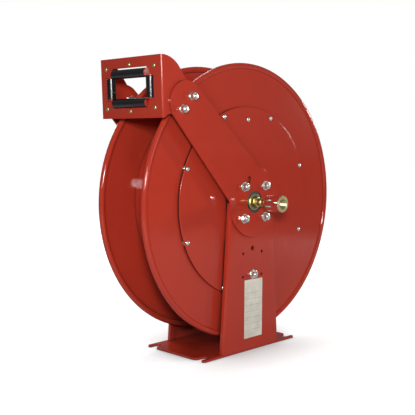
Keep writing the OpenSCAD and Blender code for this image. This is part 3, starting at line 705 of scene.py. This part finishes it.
def blank_plate():
    """A thin blank plate on the near pedestal, with ruled rows and nothing written on it."""
    face = nodes["pedestal_near"].bound_box[0][1]
    x, z = PLATE_AT
    place = Matrix.Translation((x, face, z)) @ frame_at(Vector((0, 0, 0)), (0, -1, 0))
    mesh = bmesh.new()

    def slab(outline, low, high, up=0, slot=0):
        lower = [mesh.verts.new(place @ Vector((u, v + up, low))) for u, v in outline]
        upper = [mesh.verts.new(place @ Vector((u, v + up, high))) for u, v in outline]
        for i in range(len(outline)):
            j = (i + 1) % len(outline)
            mesh.faces.new((lower[i], lower[j], upper[j], upper[i])).material_index = slot
        mesh.faces.new(list(reversed(lower))).material_index = slot
        mesh.faces.new(upper).material_index = slot
    slab(rounded_outline(PLATE_SIZE, PLATE_CORNER, 6), CLEAR, PLATE_T)
    rule = rounded_outline(RULE_SIZE, RULE_CORNER, 2)
    for row in range(RULE_COUNT):
        up = RULE_FIRST + RULE_STEP * row
        slab(rule, PLATE_T + CLEAR, PLATE_T + 3 * CLEAR, up, slot=1)
    bmesh.ops.recalc_face_normals(mesh, faces=mesh.faces)
    data = bpy.data.meshes.new("blank_plate")
    mesh.to_mesh(data)
    mesh.free()
    piece = bpy.data.objects.new("blank_plate", data)
    bpy.context.scene.collection.objects.link(piece)
    data.materials.append(plastic("plate_film", (0.74, 0.70, 0.60), 0.45))
    data.materials.append(plastic("plate_rule", (0.30, 0.30, 0.29), 0.5))
    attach(piece, "frame")


def fine_pieces():
    """Every piece that is finer here than in the CAD. Nuts stop at different angles."""
    for side, which in ((NEAR, "near"), (FAR, "far")):
        bolted_nuts("hub_nuts_" + which, side, (0.25, 0.62, -0.1, 0.4))
        bolted_nuts("arm_nuts_" + which, side, (0.3, 0.75), washer_under=True)
        washers("hub_washers_" + which, side)
        bolts("hub_bolts_" + which, side, head_t=0.004, head_r=0.0075)
        bolts("arm_bolts_" + which, side, head_t=0.006)
        cover_screws("cover_screws_" + which, side)
    bolted_nuts("pawl_nut", NEAR, (0.5,), washer_under=True)
    bolts("pawl_bolt", NEAR, head_t=0.0015, head_r=0.009)
    guide_screws()
    swivel()
    nipple()
    pawl_spring()
    blank_plate()


# ---- Camera and lamps ----

CAMERA_AT = Vector((-1.2842, -1.2112, 0.4731))
CAMERA_YAW = math.radians(45.5)
CAMERA_PITCH = math.radians(-5.09)
CAMERA_ROLL = math.radians(0.26)
CAMERA_LENS = 66.7
SENSOR = 36.0

# Name, direction from the shaft, distance, width, height, watts
LIGHTS = [
    ("key_lamp", (-0.704, -0.679, 0.208), 2.0, 0.25, 0.25, 26.0),
    ("left_lamp", (-0.867, -0.437, 0.238), 1.33, 0.14, 0.32, 2.4),
    ("front_box", (0.171, -0.970, 0.174), 2.5, 0.8, 0.8, 5.0),
    ("right_lamp", (0.855, -0.494, 0.156), 2.2, 0.18, 0.18, 15.0),
    ("top_box", (0.20, 0.30, 1.0), 2.4, 0.8, 0.8, 20.0),
    ("back_box", (0.20, 0.95, 0.40), 2.6, 1.0, 1.0, 30.0),
]


def camera():
    """The view of the near side from the left, a little above the shaft."""
    data = bpy.data.cameras.new("camera")
    data.lens = CAMERA_LENS
    data.sensor_width = SENSOR
    data.sensor_height = SENSOR
    cam = bpy.data.objects.new("camera", data)
    bpy.context.scene.collection.objects.link(cam)
    ahead = Vector((math.sin(CAMERA_YAW) * math.cos(CAMERA_PITCH),
                    math.cos(CAMERA_YAW) * math.cos(CAMERA_PITCH),
                    math.sin(CAMERA_PITCH)))
    right = Vector((math.cos(CAMERA_YAW), -math.sin(CAMERA_YAW), 0))
    up = right.cross(ahead)
    turned_right = right * math.cos(CAMERA_ROLL) + up * math.sin(CAMERA_ROLL)
    turned_up = up * math.cos(CAMERA_ROLL) - right * math.sin(CAMERA_ROLL)
    turn = Matrix((turned_right, turned_up, -ahead)).transposed().to_4x4()
    cam.matrix_world = Matrix.Translation(CAMERA_AT) @ turn
    bpy.context.scene.camera = cam


def light(name, toward, distance, width, height, watts):
    """A soft box in that direction from the shaft, facing it."""
    data = bpy.data.lights.new(name, "AREA")
    data.shape = "RECTANGLE"
    data.size = width
    data.size_y = height
    data.energy = watts
    lamp = bpy.data.objects.new(name, data)
    bpy.context.scene.collection.objects.link(lamp)
    target = Vector((0, 0, SHAFT))
    lamp.location = target + Vector(toward).normalized() * distance
    lamp.rotation_euler = (target - lamp.location).to_track_quat("-Z", "Y").to_euler()


# ---- Floor and world ----

FLOOR_SIZE = 30.0
FLOOR_DROP = 0.0002
FLOOR_COLOR = (0.50, 0.50, 0.50)

# Light that only the camera sees added to the floor: this much at the reel, rising to 1
# between these distances from it
FLOOR_LIFT = 0.78
LIFT_FROM, LIFT_TO = 0.5, 1.6

# Painted shadow round the base: the glow that the camera sees on the floor darkens by openness
SHADOW_REACH = 0.18
SHADOW_DEEP = 0.1
SHADOW_LOW, SHADOW_HIGH = 0.35, 0.95

# How bright the floor and the world are in reflections, beside the floor's own light
FLOOR_GLOSS = 0.1
WORLD_GLOSS = 0.2


def floor():
    """A pale floor that the camera sees as white, apart from the soft shade at the base, partly a
    real shadow and partly painted into its glow.
    """
    mesh = bmesh.new()
    bmesh.ops.create_grid(mesh, x_segments=2, y_segments=2, size=FLOOR_SIZE / 2)
    data = bpy.data.meshes.new("floor")
    mesh.to_mesh(data)
    mesh.free()
    piece = bpy.data.objects.new("floor", data)
    piece.location.z = cad_box[0][2] - FLOOR_DROP
    bpy.context.scene.collection.objects.link(piece)
    mat = bpy.data.materials.new("floor")
    mat.use_nodes = True
    mat.node_tree.nodes.clear()
    out = add(mat, "ShaderNodeOutputMaterial")
    diffuse = add(mat, "ShaderNodeBsdfDiffuse")
    diffuse.inputs["Color"].default_value = (*FLOOR_COLOR, 1)
    path = add(mat, "ShaderNodeLightPath")
    coord = add(mat, "ShaderNodeTexCoord")
    away = add(mat, "ShaderNodeVectorMath", operation="LENGTH")
    link(mat, coord.outputs["Object"], away.inputs[0])
    rise = add(mat, "ShaderNodeMapRange", From_Min=LIFT_FROM, From_Max=LIFT_TO,
               To_Min=FLOOR_LIFT, To_Max=1.0)
    link(mat, away.outputs["Value"], rise.inputs["Value"])
    # Painted shadow: the camera-only glow darkens where the reel closes the floor in
    shade = openness(mat, SHADOW_REACH, FLOOR_SAMPLES, SHADOW_LOW, SHADOW_HIGH, SHADOW_DEEP)
    lift = add(mat, "ShaderNodeMath", operation="MULTIPLY")
    link(mat, rise.outputs["Result"], lift.inputs[0])
    link(mat, shade, lift.inputs[1])
    previous = diffuse.outputs[0]
    for seen_by, strength in (("Is Camera Ray", lift.outputs[0]), ("Is Glossy Ray", None)):
        glow = add(mat, "ShaderNodeEmission")
        seen = add(mat, "ShaderNodeMath", operation="MULTIPLY")
        seen.inputs[1].default_value = FLOOR_GLOSS
        link(mat, path.outputs[seen_by], seen.inputs[0])
        if strength:
            link(mat, strength, seen.inputs[1])
        link(mat, seen.outputs[0], glow.inputs["Strength"])
        both = add(mat, "ShaderNodeAddShader")
        link(mat, previous, both.inputs[0])
        link(mat, glow.outputs[0], both.inputs[1])
        previous = both.outputs[0]
    link(mat, previous, out.inputs["Surface"])
    data.materials.append(mat)


def world():
    """White for the camera, dim in reflections, and dark for every other ray."""
    scene_world = bpy.data.worlds.new("studio")
    bpy.context.scene.world = scene_world
    scene_world.use_nodes = True
    tree = scene_world.node_tree
    tree.nodes.clear()
    out = tree.nodes.new("ShaderNodeOutputWorld")
    path = tree.nodes.new("ShaderNodeLightPath")
    previous = None
    for strength, seen_by in ((0.0, None), (WORLD_GLOSS, "Is Glossy Ray"),
                              (1.0, "Is Camera Ray")):
        back = tree.nodes.new("ShaderNodeBackground")
        back.inputs["Color"].default_value = (1, 1, 1, 1)
        back.inputs["Strength"].default_value = strength
        if previous is None:
            previous = back
            continue
        mix = tree.nodes.new("ShaderNodeMixShader")
        tree.links.new(path.outputs[seen_by], mix.inputs["Fac"])
        tree.links.new(previous.outputs[0], mix.inputs[1])
        tree.links.new(back.outputs[0], mix.inputs[2])
        previous = mix
    tree.links.new(previous.outputs[0], out.inputs["Surface"])


# ---- The scene ----

paint_nodes()
for sheet, radius in SHEET_METAL.items():
    soften(sheet, radius)
fine_pieces()

camera()
for lamp in LIGHTS:
    light(*lamp)
floor()
world()
bpy.context.scene.view_settings.view_transform = "Standard"
